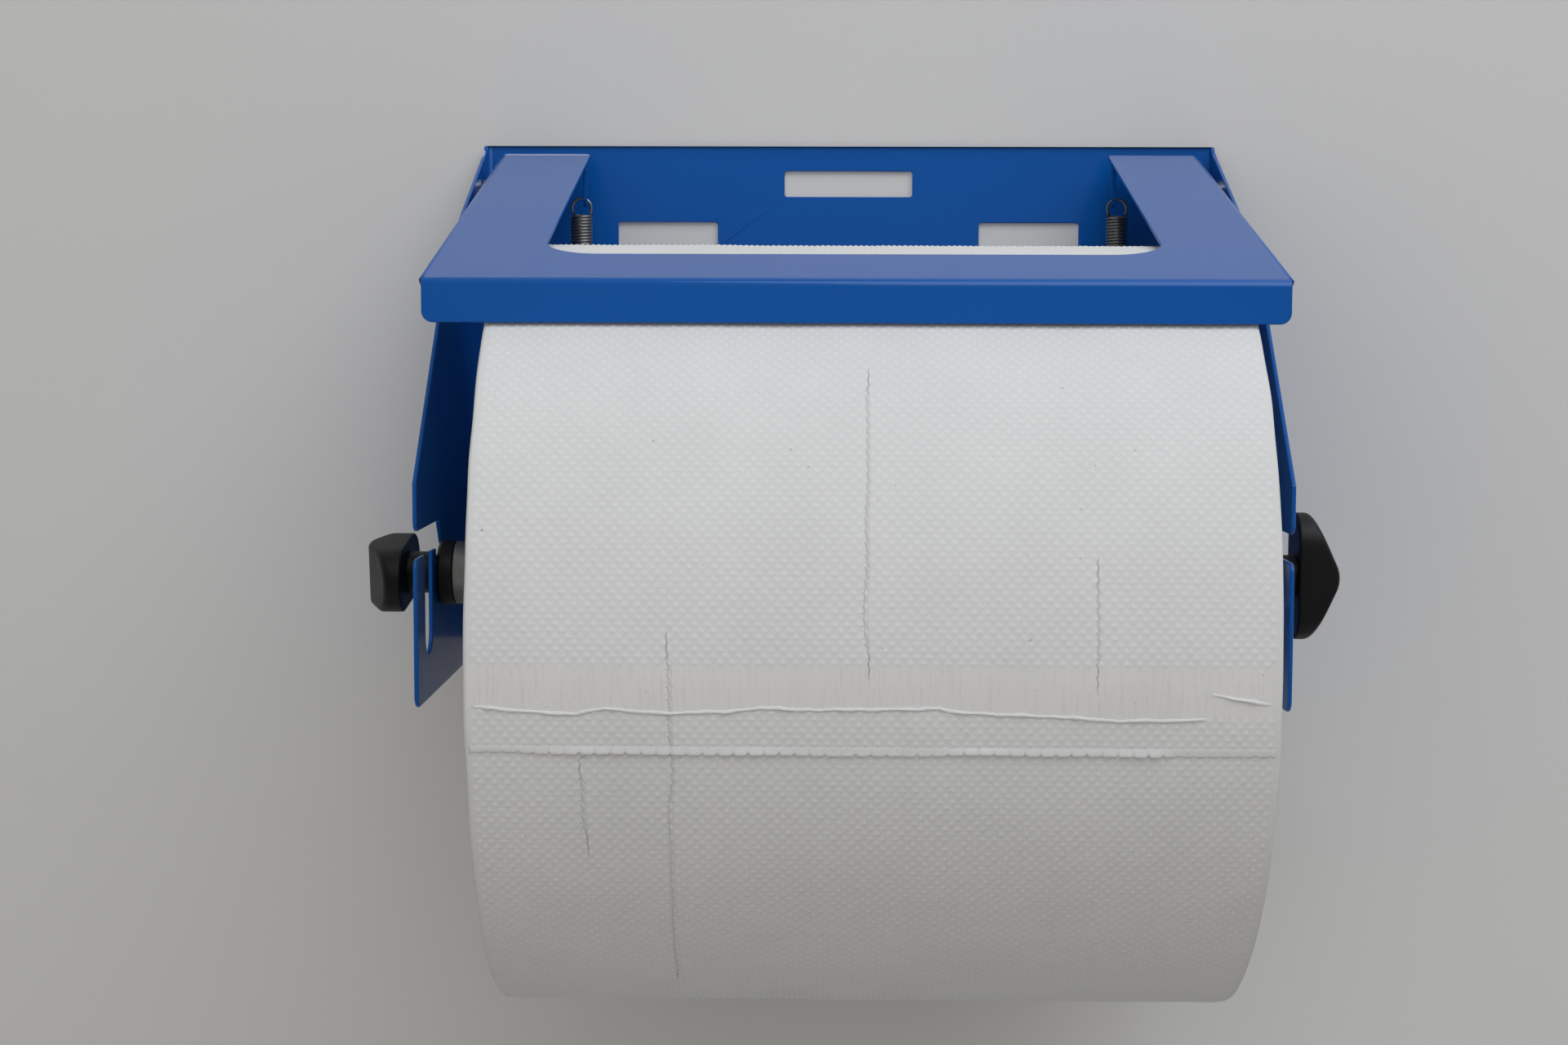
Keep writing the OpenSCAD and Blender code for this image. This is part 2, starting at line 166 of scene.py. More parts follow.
world = bpy.data.worlds.new("studio_air")
world.use_nodes = True
world.node_tree.nodes["Background"].inputs["Color"].default_value = (1.0, 0.96, 0.90, 1)
world.node_tree.nodes["Background"].inputs["Strength"].default_value = 0.21
bpy.context.scene.world = world
bpy.context.scene.view_settings.view_transform = "Standard"

# ---------------------------------------------------------------------------------------
# Wall bracket. One 2 mm sheet, laser cut and bent to a channel, then powder coated blue.
# It is screwed flat to the wall. The coat rounds the cut edges and has a fine orange peel.


def group_socket(tree, name, in_out, kind, value=None):
    socket = tree.interface.new_socket(name=name, in_out=in_out, socket_type=kind)
    if value is not None:
        socket.default_value = value


def math_node(tree, operation, a, b=None, clamp=False):
    node = tree.nodes.new("ShaderNodeMath")
    node.operation = operation
    node.use_clamp = clamp
    for slot, value in enumerate((a, b)):
        if value is None:
            continue
        if isinstance(value, (int, float)):
            node.inputs[slot].default_value = value
        else:
            tree.links.new(value, node.inputs[slot])
    return node.outputs[0]


def make_relief_group():
    """Fine relief and slow blotches, with the size and height of each as inputs."""
    tree = bpy.data.node_groups.new("surface_relief", "ShaderNodeTree")
    group_socket(tree, "Grain Scale", "INPUT", "NodeSocketFloat", 900.0)
    group_socket(tree, "Grain Height", "INPUT", "NodeSocketFloat", 0.00002)
    group_socket(tree, "Blotch Scale", "INPUT", "NodeSocketFloat", 12.0)
    group_socket(tree, "Stretch", "INPUT", "NodeSocketVector", (1, 1, 1))
    group_socket(tree, "Grain", "OUTPUT", "NodeSocketFloat")
    group_socket(tree, "Blotch", "OUTPUT", "NodeSocketFloat")
    group_socket(tree, "Normal", "OUTPUT", "NodeSocketVector")
    given = tree.nodes.new("NodeGroupInput")
    result = tree.nodes.new("NodeGroupOutput")
    place = tree.nodes.new("ShaderNodeTexCoord")
    stretched = tree.nodes.new("ShaderNodeVectorMath")
    stretched.operation = "MULTIPLY"
    grain = tree.nodes.new("ShaderNodeTexNoise")
    grain.inputs["Detail"].default_value = 3
    blotch = tree.nodes.new("ShaderNodeTexNoise")
    blotch.inputs["Detail"].default_value = 4
    bump = tree.nodes.new("ShaderNodeBump")
    bump.inputs["Strength"].default_value = 1.0
    link = tree.links.new
    link(place.outputs["Object"], stretched.inputs[0])
    link(given.outputs["Stretch"], stretched.inputs[1])
    link(stretched.outputs[0], grain.inputs["Vector"])
    link(given.outputs["Grain Scale"], grain.inputs["Scale"])
    link(place.outputs["Object"], blotch.inputs["Vector"])
    link(given.outputs["Blotch Scale"], blotch.inputs["Scale"])
    link(grain.outputs["Fac"], bump.inputs["Height"])
    link(given.outputs["Grain Height"], bump.inputs["Distance"])
    link(grain.outputs["Fac"], result.inputs["Grain"])
    link(blotch.outputs["Fac"], result.inputs["Blotch"])
    link(bump.outputs["Normal"], result.inputs["Normal"])
    return tree


def make_dust_group():
    """Lays a thin uneven dust on what faces up, and gives the dusted colour and its mask."""
    tree = bpy.data.node_groups.new("settled_dust", "ShaderNodeTree")
    group_socket(tree, "Color", "INPUT", "NodeSocketColor", (0.5, 0.5, 0.5, 1))
    group_socket(tree, "Dust Color", "INPUT", "NodeSocketColor", (0.5, 0.5, 0.48, 1))
    group_socket(tree, "Amount", "INPUT", "NodeSocketFloat", 0.1)
    group_socket(tree, "Color", "OUTPUT", "NodeSocketColor")
    group_socket(tree, "Mask", "OUTPUT", "NodeSocketFloat")
    given = tree.nodes.new("NodeGroupInput")
    result = tree.nodes.new("NodeGroupOutput")
    shape = tree.nodes.new("ShaderNodeNewGeometry")
    split = tree.nodes.new("ShaderNodeSeparateXYZ")
    place = tree.nodes.new("ShaderNodeTexCoord")
    specks = tree.nodes.new("ShaderNodeTexNoise")
    specks.inputs["Scale"].default_value = 220
    specks.inputs["Detail"].default_value = 6
    tree.links.new(shape.outputs["Normal"], split.inputs[0])
    tree.links.new(place.outputs["Object"], specks.inputs["Vector"])
    up = math_node(tree, "MAXIMUM", split.outputs["Z"], 0.0)
    patch = math_node(tree, "MULTIPLY", up, specks.outputs["Fac"])
    mask = math_node(tree, "MULTIPLY", patch, given.outputs["Amount"], clamp=True)
    mix = tree.nodes.new("ShaderNodeMix")
    mix.data_type = "RGBA"
    tree.links.new(mask, mix.inputs["Factor"])
    tree.links.new(given.outputs["Color"], mix.inputs["A"])
    tree.links.new(given.outputs["Dust Color"], mix.inputs["B"])
    tree.links.new(mix.outputs["Result"], result.inputs["Color"])
    tree.links.new(mask, result.inputs["Mask"])
    return tree


relief_group = make_relief_group()
dust_group = make_dust_group()


def place_group(material, group, **values):
    node = material.node_tree.nodes.new("ShaderNodeGroup")
    node.node_tree = group
    for name, value in values.items():
        node.inputs[name.replace("_", " ")].default_value = value
    return node


def shader_socket(material, name):
    return material.node_tree.nodes["Principled BSDF"].inputs[name]


def finish_material(name, dark, light, rough, grain, metallic=0.0, dust=0.0):
    """A material whose colour runs from dark to light in slow blotches, with fine relief."""
    material = bpy.data.materials.new(name)
    material.use_nodes = True
    tree = material.node_tree
    surface = tree.nodes["Principled BSDF"]
    surface.inputs["Metallic"].default_value = metallic
    relief = place_group(material, relief_group, **grain)
    mix = tree.nodes.new("ShaderNodeMix")
    mix.data_type = "RGBA"
    mix.inputs["A"].default_value = (*dark, 1)
    mix.inputs["B"].default_value = (*light, 1)
    tree.links.new(relief.outputs["Blotch"], mix.inputs["Factor"])
    dusted = place_group(material, dust_group, Amount=dust)
    tree.links.new(mix.outputs["Result"], dusted.inputs["Color"])
    tree.links.new(dusted.outputs["Color"], surface.inputs["Base Color"])
    spread = tree.nodes.new("ShaderNodeMapRange")
    spread.inputs["To Min"].default_value = rough[0]
    spread.inputs["To Max"].default_value = rough[1]
    tree.links.new(relief.outputs["Blotch"], spread.inputs["Value"])
    tree.links.new(spread.outputs["Result"], surface.inputs["Roughness"])
    tree.links.new(relief.outputs["Normal"], surface.inputs["Normal"])
    return material


blue_coat = finish_material(
    "blue_powder_coat",
    dark=(0.002, 0.089, 0.38),
    light=(0.003, 0.103, 0.42),
    rough=(0.30, 0.38),
    grain={"Grain_Scale": 520.0, "Grain_Height": 0.00003, "Blotch_Scale": 9.0},
    dust=0.04,
)
shader_socket(blue_coat, "Specular IOR Level").default_value = 0.10
shader_socket(blue_coat, "Coat Weight").default_value = 0.42
shader_socket(blue_coat, "Coat Roughness").default_value = 0.10


def dress_cad(node, material, edge):
    """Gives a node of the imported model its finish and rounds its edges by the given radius."""
    piece = cad[node]
    piece.data.materials.clear()
    piece.data.materials.append(material)
    weld = piece.modifiers.new("weld", "WELD")
    weld.merge_threshold = 6e-5
    flats = piece.modifiers.new("one_face_per_flat", "DECIMATE")
    flats.decimate_type = "DISSOLVE"
    flats.angle_limit = math.radians(1)
    bevel = piece.modifiers.new("rounded_edges", "BEVEL")
    bevel.width = edge
    bevel.segments = 2
    bevel.limit_method = "ANGLE"
    bevel.angle_limit = math.radians(40)
    bevel.use_clamp_overlap = False
    bevel.harden_normals = True


dress_cad("wall_bracket", blue_coat, edge=0.0007)

# ---------------------------------------------------------------------------------------
# Tear-off frame. A second blue sheet with a window for the hand, side flanges, a front
# flange to tear against, and two small tabs that the springs hook into.

dress_cad("tear_frame", blue_coat, edge=0.0006)

# ---------------------------------------------------------------------------------------
# Hinge. On each side a low button-head bolt with a hexagon socket goes through the side
# plate, a spacer, the frame's side flange, a washer and a nut. All are zinc plated steel.

ROUNDING_STEPS = 4
TURNED_SIDES = 64
SOCKET_WIDTH = 0.004
SOCKET_DEPTH = 0.0016
SHANK_R = 0.003
SHANK_LENGTH = 0.0227
TIP_CHAMFER = 0.0005
HEAD_GAP = 0.0001
HEAD_LIP = 0.0004       # height of the straight side below the button's dome
DOME_SHOULDER = 0.0009  # how far the dome has dropped at its shoulder


def rounded_line(points, radius):
    """The open line through the points, each inner corner replaced by an arc."""
    points = [Vector(p) for p in points]
    line = [points[0]]
    for before, corner, after in zip(points, points[1:], points[2:]):
        back = before - corner
        ahead = after - corner
        reach = min(radius, back.length * 0.45, ahead.length * 0.45)
        start = corner + back.normalized() * reach
        end = corner + ahead.normalized() * reach
        for step in range(ROUNDING_STEPS + 1):
            share = step / ROUNDING_STEPS
            first = start.lerp(corner, share)
            line.append(first.lerp(corner.lerp(end, share), share))
    line.append(points[-1])
    return line


def skin(rows, sides, loop=False):
    """The faces between rows of points that each run once round a piece."""
    faces = []
    for row in range(rows if loop else rows - 1):
        low = row * sides
        high = (row + 1) % rows * sides
        for turn in range(sides):
            after = (turn + 1) % sides
            faces.append((low + turn, low + after, high + after, high + turn))
    return faces


def end_caps(rows, sides):
    return [tuple(range(sides)), tuple(range((rows - 1) * sides, rows * sides))]


def make_piece(name, points, faces, material, merge=0.0):
    """A smooth closed mesh in one finish. Points closer together than merge are joined."""
    mesh = bpy.data.meshes.new(name)
    mesh.from_pydata(points, [], faces)
    mesh.validate()
    shape = bmesh.new()
    shape.from_mesh(mesh)
    if merge:
        bmesh.ops.remove_doubles(shape, verts=shape.verts, dist=merge)
    bmesh.ops.recalc_face_normals(shape, faces=shape.faces)
    shape.to_mesh(mesh)
    shape.free()
    mesh.materials.append(material)
    for face in mesh.polygons:
        face.use_smooth = True
    piece = bpy.data.objects.new(name, mesh)
    bpy.context.scene.collection.objects.link(piece)
    return piece


def turned_solid(name, outline, material, radius, closed=False):
    """A solid turned about X. The outline gives (x, r) pairs, from axis to axis or as a loop."""
    if closed:
        line = rounded_line([*outline, outline[0], outline[1]], radius)[1:-1]
    else:
        line = rounded_line(outline, radius)
    points = []
    for x, r in line:
        r = max(r, 1e-6)
        for turn in range(TURNED_SIDES):
            angle = 2 * math.pi * turn / TURNED_SIDES
            points.append((x, r * math.cos(angle), r * math.sin(angle)))
    faces = skin(len(line), TURNED_SIDES, loop=closed)
    return make_piece(name, points, faces, material, merge=4e-6)


def combine(piece, other, operation):
    """Applies one solid to another, and removes the second."""
    change = piece.modifiers.new("combine", "BOOLEAN")
    change.operation = operation
    change.object = other
    change.solver = "EXACT"
    bpy.context.view_layer.update()
    ready = piece.evaluated_get(bpy.context.evaluated_depsgraph_get())
    mesh = bpy.data.meshes.new_from_object(ready)
    piece.modifiers.clear()
    piece.data = mesh
    bpy.data.objects.remove(other)


def shade_by_angle(piece, degrees):
    piece.data.set_sharp_from_angle(angle=math.radians(degrees))


zinc = finish_material(
    "zinc_plate",
    dark=(0.44, 0.45, 0.46),
    light=(0.60, 0.60, 0.59),
    rough=(0.28, 0.42),
    metallic=1.0,
    grain={"Grain_Scale": 700.0, "Grain_Height": 0.00001, "Blotch_Scale": 90.0},
    dust=0.05,
)
bolt_low, bolt_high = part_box("hinge_bolts")
bolt_y = (bolt_low.y + bolt_high.y) / 2
bolt_z = (bolt_low.z + bolt_high.z) / 2
plate_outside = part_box("wall_bracket")[1].x


def hexagon_socket(x):
    """The hollow in a bolt's head, centred on the head's face at x."""
    socket = bmesh.new()
    bmesh.ops.create_cone(
        socket,
        cap_ends=True,
        segments=6,
        radius1=SOCKET_WIDTH / math.sqrt(3),
        radius2=SOCKET_WIDTH / math.sqrt(3),
        depth=2 * SOCKET_DEPTH,
        matrix=Matrix.Translation((x, 0, 0)) @ Matrix.Rotation(math.pi / 2, 4, "Y"),
    )
    mesh = bpy.data.meshes.new("socket")
    socket.to_mesh(mesh)
    socket.free()
    hollow = bpy.data.objects.new("socket", mesh)
    bpy.context.scene.collection.objects.link(hollow)
    return hollow


def hinge_bolt(side):
    head_out = bolt_high.x
    head_in = plate_outside + HEAD_GAP
    head_r = (bolt_high.z - bolt_low.z) / 2
    tip = plate_outside - SHANK_LENGTH
    outline = [
        (head_out, 0.0),
        (head_out, head_r * 0.55),
        (head_out - DOME_SHOULDER, head_r * 0.92),
        (head_in + HEAD_LIP, head_r),
        (head_in, head_r),
        (head_in, SHANK_R),
        (tip + TIP_CHAMFER, SHANK_R),
        (tip, SHANK_R - TIP_CHAMFER),
        (tip, 0.0),
    ]
    bolt = turned_solid("hinge_bolt_" + side, outline, zinc, radius=0.0005)
    combine(bolt, hexagon_socket(head_out), "DIFFERENCE")
    if side == "left":
        bolt.data.transform(Matrix.Rotation(math.pi, 4, "Z"))
    bolt.data.transform(Matrix.Translation((0, bolt_y, bolt_z)))
    shade_by_angle(bolt, 35)
    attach(bolt, "bracket")
    return bolt


hinge_bolt("left")
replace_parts(hinge_bolt("right"), "hinge_bolts")
for fastener in ("hinge_spacers", "hinge_washers", "hinge_nuts"):
    dress_cad(fastener, zinc, edge=0.0003)

# ---------------------------------------------------------------------------------------
# Springs. Two close-wound tension springs of oiled steel wire pull the frame down. The end
# of the wire is bent up into a ring at the top and at the bottom of each coil.

WIRE_R = 0.0008
WIRE_SIDES = 8
COIL_STEPS = 22      # points in one turn of the coil
RING_STEPS = 25
RING_OPENING = 0.1   # angle left open at the end of each ring, in radians
TURN_SPACING = 1.01  # height of one turn, in wire diameters
spring_steel = finish_material(
    "oiled_spring_steel",
    dark=(0.22, 0.22, 0.20),
    light=(0.34, 0.34, 0.32),
    rough=(0.28, 0.42),
    metallic=0.9,
    grain={"Grain_Scale": 900.0, "Grain_Height": 0.00001, "Blotch_Scale": 80.0},
)


def round_wire(name, path, material):
    """A wire of round section along a path, closed at both ends."""
    along = np.gradient(path, axis=0)
    along /= np.linalg.norm(along, axis=1)[:, None]
    side = np.cross(along[0], (0.3, 0.9, 0.2))
    points = []
    for place, ahead in zip(path, along):
        side = side - ahead * side.dot(ahead)
        side /= np.linalg.norm(side)
        up = np.cross(ahead, side)
        for turn in range(WIRE_SIDES):
            angle = 2 * math.pi * turn / WIRE_SIDES
            points.append(place + WIRE_R * (side * math.cos(angle) + up * math.sin(angle)))
    faces = skin(len(path), WIRE_SIDES) + end_caps(len(path), WIRE_SIDES)
    return make_piece(name, points, faces, material)


def spring_path(low, high):
    """Ring, coil and ring as one line, for a spring whose solid reaches from low to high."""
    coil_r = (high.y - low.y) / 2 - WIRE_R
    lift = coil_r - 2 * WIRE_R
    middle = Vector(((low.x + high.x) / 2, (low.y + high.y) / 2, 0))
    ring_top = high.z - WIRE_R - coil_r
    ring_low = low.z + WIRE_R + coil_r
    bottom = ring_low + lift
    height = ring_top - lift - bottom
    steps = round(height / (2 * TURN_SPACING * WIRE_R)) * COIL_STEPS
    coil = []
    for step in range(steps + 1):
        angle = math.pi + 2 * math.pi * step / COIL_STEPS
        across = Vector((coil_r * math.cos(angle), coil_r * math.sin(angle), 0))
        coil.append(middle + across + Vector((0, 0, bottom + height * step / steps)))
    foot = math.asin(lift / coil_r)
    ring = []
    for step in range(RING_STEPS + 1):
        angle = math.pi + foot - (math.pi + 2 * foot - RING_OPENING) * step / RING_STEPS
        ring.append(Vector((coil_r * math.cos(angle), 0, coil_r * math.sin(angle))))
    upper = [middle + p + Vector((0, 0, ring_top)) for p in ring]
    lower = [middle + Vector((p.x, 0, ring_low - p.z)) for p in ring]
    path = np.array([*lower[:0:-1], *coil[2:-2], *upper[1:]], float)
    # one pass of averaging eases the bends between the coil and its rings
    path[1:-1] = 0.25 * path[:-2] + 0.5 * path[1:-1] + 0.25 * path[2:]
    return path


def spring(side):
    low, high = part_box("spring_" + side)
    piece = round_wire("coil_spring_" + side, spring_path(low, high), spring_steel)
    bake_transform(piece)
    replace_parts(piece, "spring_" + side)


spring("left")
spring("right")

# ---------------------------------------------------------------------------------------
# Axle. A threaded rod inside a dull steel tube. A black plastic collar closes each end of
# the tube and bears on the inside of the side plate.

THREAD_PITCH = 0.00175
THREAD_DEPTH = 0.0009
THREAD_GAP = 0.00002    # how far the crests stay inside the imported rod
ROD_CHAMFER = 0.001
ROD_SIDES = 24
ROWS_PER_PITCH = 4
COLLAR_BORE_R = 0.00605
COLLAR_EDGE = 0.0012
COLLAR_GAP = 0.0003     # between the collar's head and the end of the tube
SPIGOT_INSET = 0.00205  # the tube's wall and a little play
rod_low, rod_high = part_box("axle_rod")
tube_low, tube_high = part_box("axle_tube")
axle_y = (rod_low.y + rod_high.y) / 2
axle_z = (rod_low.z + rod_high.z) / 2


def threaded_rod():
    rod_r = (rod_high.z - rod_low.z) / 2 - THREAD_GAP
    rows = int((rod_high.x - rod_low.x) / THREAD_PITCH * ROWS_PER_PITCH) + 1
    x = np.linspace(rod_low.x, rod_high.x, rows)[:, None]
    angle = (2 * math.pi * np.arange(ROD_SIDES) / ROD_SIDES)[None, :]
    phase = (x / THREAD_PITCH - angle / (2 * math.pi)) % 1.0
    groove = np.abs(phase - 0.5) * 2
    from_end = np.minimum(x - rod_low.x, rod_high.x - x)
    chamfer = np.clip(1 - from_end / ROD_CHAMFER, 0, 1)
    radius = rod_r - THREAD_DEPTH * np.maximum(groove, chamfer)
    along = np.broadcast_to(x, radius.shape)
    across = axle_y + radius * np.cos(angle)
    above = axle_z + radius * np.sin(angle)
    points = np.stack([along, across, above], axis=2).reshape(-1, 3)
    faces = skin(rows, ROD_SIDES) + end_caps(rows, ROD_SIDES)
    rod = make_piece("threaded_rod", points.tolist(), faces, zinc)
    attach(rod, "axle")
    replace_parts(rod, "axle_rod")


threaded_rod()
tube_steel = finish_material(
    "dull_tube_steel",
    dark=(0.40, 0.40, 0.38),
    light=(0.50, 0.50, 0.48),
    rough=(0.42, 0.55),
    metallic=0.9,
    grain={
        "Grain_Scale": 400.0,
        "Grain_Height": 0.00001,
        "Blotch_Scale": 60.0,
        "Stretch": (0.05, 1, 1),
    },
)
dress_cad("axle_tube", tube_steel, edge=0.0003)
black_plastic = finish_material(
    "black_plastic",
    dark=(0.0030, 0.0030, 0.0033),
    light=(0.0050, 0.0050, 0.0054),
    rough=(0.44, 0.54),
    grain={"Grain_Scale": 1400.0, "Grain_Height": 0.00002, "Blotch_Scale": 40.0},
    dust=0.02,
)
shader_socket(black_plastic, "Specular IOR Level").default_value = 0.3


def collar(side):
    low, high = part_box("collar_" + side)
    out = 1 if side == "right" else -1
    outer_face = max(abs(low.x), abs(high.x))
    inner_face = min(abs(low.x), abs(high.x))
    head_face = tube_high.x + COLLAR_GAP
    spigot_r = (tube_high.z - tube_low.z) / 2 - SPIGOT_INSET
    head_r = (high.z - low.z) / 2
    outline = [
        (outer_face, COLLAR_BORE_R),
        (outer_face, head_r - COLLAR_EDGE),
        (outer_face - COLLAR_EDGE, head_r),
        (head_face, head_r),
        (head_face, spigot_r),
        (inner_face, spigot_r),
        (inner_face, COLLAR_BORE_R),
    ]
    piece = turned_solid(
        "collar_" + side + "_turned",
        [(out * x, r) for x, r in outline],
        black_plastic,
        radius=0.0005,
        closed=True,
    )
    piece.location = (0, axle_y, axle_z)
    shade_by_angle(piece, 50)
    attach(piece, "axle")
    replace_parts(piece, "collar_" + side)


collar("left")
collar("right")

# ---------------------------------------------------------------------------------------
# Knobs. Each is a black plastic wing on a round hub, moulded over a brass insert with the
# rod's thread. Its outer face slopes down from a rounded ridge to the two wing tips.

WING_LENGTH = 0.061
WING_WIDTH = 0.0306
WING_SLOPE = math.radians(24.5)
WING_EDGE_R = 0.0026
WING_BACK_R = 0.0012
WING_MIDDLE = 0.0005        # half the width of the last strip along the wing's middle
FLAT_RINGS = (1.4, 2.4, 3.8)    # where the outer face has its rings, in edge radii
WING_END_STEPS = 18
WING_SIDE_STEPS = 12
EDGE_STEPS = 5
RIDGE_R = 0.015
HUB_LENGTH = 0.012
HUB_R = 0.010
INSERT_R = 0.00805
INSERT_LENGTH = 0.020
LEFT_TURN = math.radians(98)
knob_low, knob_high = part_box("knob_right")
KNOB_X = knob_low.x
WING_HEIGHT = knob_high.x - knob_low.x - HUB_LENGTH


def wing_face(z):
    """Height of the wing's outer face at z along the wing."""
    ridge = WING_HEIGHT - RIDGE_R
    if abs(z) < RIDGE_R * math.sin(WING_SLOPE):
        return ridge + math.sqrt(RIDGE_R**2 - z**2)
    return ridge + RIDGE_R / math.cos(WING_SLOPE) - abs(z) * math.tan(WING_SLOPE)


def wing_outline(inset):
    """The long round-ended outline of the wing, drawn in by the given amount."""
    half = (WING_LENGTH - WING_WIDTH) / 2
    r = WING_WIDTH / 2 - inset
    line = []
    for end in (1, -1):
        for step in range(WING_END_STEPS + 1):
            angle = math.pi * step / WING_END_STEPS
            line.append((end * r * math.cos(angle), end * (half + r * math.sin(angle))))
        for step in range(1, WING_SIDE_STEPS):
            line.append((-end * r, end * half * (1 - 2 * step / WING_SIDE_STEPS)))
    return line


def wing_rings():
    """How far each ring of the wing is drawn in, how deep it lies, and if it is outside."""
    arc = [math.pi / 2 * step / EDGE_STEPS for step in range(EDGE_STEPS + 1)]
    middle = WING_WIDTH / 2 - WING_MIDDLE
    rings = [(middle, 0.0, False), (WING_EDGE_R * 2.2, 0.0, False)]
    for a in arc:
        rings.append((WING_BACK_R * (1 - math.sin(a)), WING_BACK_R * (1 - math.cos(a)), False))
    for a in arc:
        rings.append((WING_EDGE_R * (1 - math.cos(a)), WING_EDGE_R * (1 - math.sin(a)), True))
    for share in FLAT_RINGS:
        rings.append((WING_EDGE_R * share, 0.0, True))
    rings.append((middle, 0.0, True))
    return rings


def knob_wing():
    rings = wing_rings()
    points = []
    for inset, depth, outside in rings:
        for y, z in wing_outline(inset):
            x = wing_face(z) - depth if outside else depth
            points.append((KNOB_X + HUB_LENGTH + x, y, z))
    count = len(wing_outline(0.0))
    faces = skin(len(rings), count)
    # the innermost rings are closed by bridging each point to its partner across the wing
    for start in (0, (len(rings) - 1) * count):
        for step in range(WING_END_STEPS // 2, (WING_END_STEPS + count) // 2):
            partners = ((WING_END_STEPS - step - 1) % count, (WING_END_STEPS - step) % count)
            corners = dict.fromkeys((step, step + 1, *partners))
            faces.append([start + corner for corner in corners])
    return make_piece("wing", points, faces, black_plastic)


def knob(side, turn):
    hub_end = KNOB_X + HUB_LENGTH + 0.002
    hub_outline = [(KNOB_X, INSERT_R), (KNOB_X, HUB_R), (hub_end, HUB_R), (hub_end, INSERT_R)]
    piece = turned_solid(
        "knob_" + side + "_moulded",
        hub_outline,
        black_plastic,
        radius=0.0009,
        closed=True,
    )
    bore_start = KNOB_X - 0.002
    bore_end = KNOB_X + INSERT_LENGTH + 0.001
    bore_outline = [(bore_start, 0), (bore_start, INSERT_R), (bore_end, INSERT_R), (bore_end, 0)]
    bore = turned_solid("bore", bore_outline, black_plastic, radius=0.0)
    wing = knob_wing()
    combine(wing, bore, "DIFFERENCE")
    combine(piece, wing, "UNION")
    if side == "left":
        piece.data.transform(Matrix.Scale(-1, 4, (1, 0, 0)))
        piece.data.flip_normals()
    piece.data.transform(Matrix.Rotation(turn, 4, "X"))
    piece.data.transform(Matrix.Translation((0, axle_y, axle_z)))
    shade_by_angle(piece, 40)
    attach(piece, side + "_knob")
    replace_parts(piece, "knob_" + side)


knob("left", LEFT_TURN)
knob("right", 0.0)
brass = finish_material(
    "turned_brass",
    dark=(0.50, 0.33, 0.12),
    light=(0.62, 0.43, 0.17),
    rough=(0.25, 0.35),
    metallic=1.0,
    grain={"Grain_Scale": 600.0, "Grain_Height": 0.00001, "Blotch_Scale": 50.0},
)
dress_cad("insert_left", brass, edge=0.0003)
dress_cad("insert_right", brass, edge=0.0003)

# ---------------------------------------------------------------------------------------
# Core. A stiff grey board tube of several layers, wound at a slant, that hangs on the axle
# tube. The paper is wound onto it.

core_board = finish_material(
    "grey_core_board",
    dark=(0.20, 0.165, 0.12),
    light=(0.27, 0.225, 0.165),
    rough=(0.75, 0.88),
    grain={
        "Grain_Scale": 500.0,
        "Grain_Height": 0.00006,
        "Blotch_Scale": 30.0,
        "Stretch": (0.3, 1, 1),
    },
)
dress_cad("roll_core", core_board, edge=0.0004)

# ---------------------------------------------------------------------------------------
# Paper roll. Soft white two-layer paper with pressed dots in staggered rows, wound round
# the core. A strip of glue holds the end of the paper, which is torn along small slits.
# Places on it are given as x and s, the arc length below the roll's frontmost line.

DOT_PITCH = 0.0052
DOT_HEIGHT = 0.00050
DOT_R = 0.0007
RING_RISE = 0.35     # height of the four points round a dot, as a share of the dot's
GLUED_LOSS = 0.85    # share of a dot's height that the glue takes away
RIM_R = 0.0018
RIM_STEPS = 5
FACE_RINGS = 46
FACE_RELIEF = 0.00016
END_BULGE = 0.0015
PAPER_RISE = 0.0006
STEP_DOWN = 0.00038
SEAM = -0.4          # arc length at which the count starts, behind the roll
GLUE_TOP = -0.0043
TAIL_EDGE = 0.0335
TAIL_LENGTH = 0.0042
TAIL_THICKNESS = 0.00022
SLIT_PITCH = 0.0063
CORE_GAP = 0.0002
# the ridge of torn paper: places (x, s)
RIDGE = [
    (-0.1570, 0.0136),
    (-0.1340, 0.0153),
    (-0.1145, 0.0164),
    (-0.1030, 0.0140),
    (-0.0815, 0.0157),
    (-0.0520, 0.0153),
    (-0.0400, 0.0133),
    (-0.0155, 0.0143),
    (0.0340, 0.0133),
    (0.0390, 0.0150),
    (0.0800, 0.0164),
    (0.1000, 0.0181),
    (0.1430, 0.0177),
]
# fine creases: place x, and the arc length where each starts and ends
CREASES = [
    (-0.0766, -0.012, 0.170),
    (0.0043, -0.130, -0.005),
    (0.0980, -0.043, 0.000),
    (-0.1120, 0.040, 0.075),
]
CREASE_ZONE = 0.010
chance = np.random.default_rng(11)
roll_low, roll_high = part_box("paper_roll")
core_low, core_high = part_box("roll_core")
ROLL_Y = (roll_low.y + roll_high.y) / 2
ROLL_Z = (roll_low.z + roll_high.z) / 2
PAPER_R = (roll_high.z - roll_low.z) / 2 - PAPER_RISE
BORE_R = (core_high.z - core_low.z) / 2 + CORE_GAP
ROUND = 2 * math.pi * PAPER_R


def slow_wave(place, length, seed):
    """A smooth uneven wave between about -1 and 1 along a line of places."""
    phases = np.random.default_rng(seed).uniform(0, 2 * math.pi, 5)
    total = 0
    for number, phase in enumerate(phases, start=1):
        total = total + np.sin(2 * math.pi * number * place / length + phase) / number**0.7
    return total / 2.6


def soft_step(value, start, end):
    share = np.clip((value - start) / (end - start), 0, 1)
    return share * share * (3 - 2 * share)


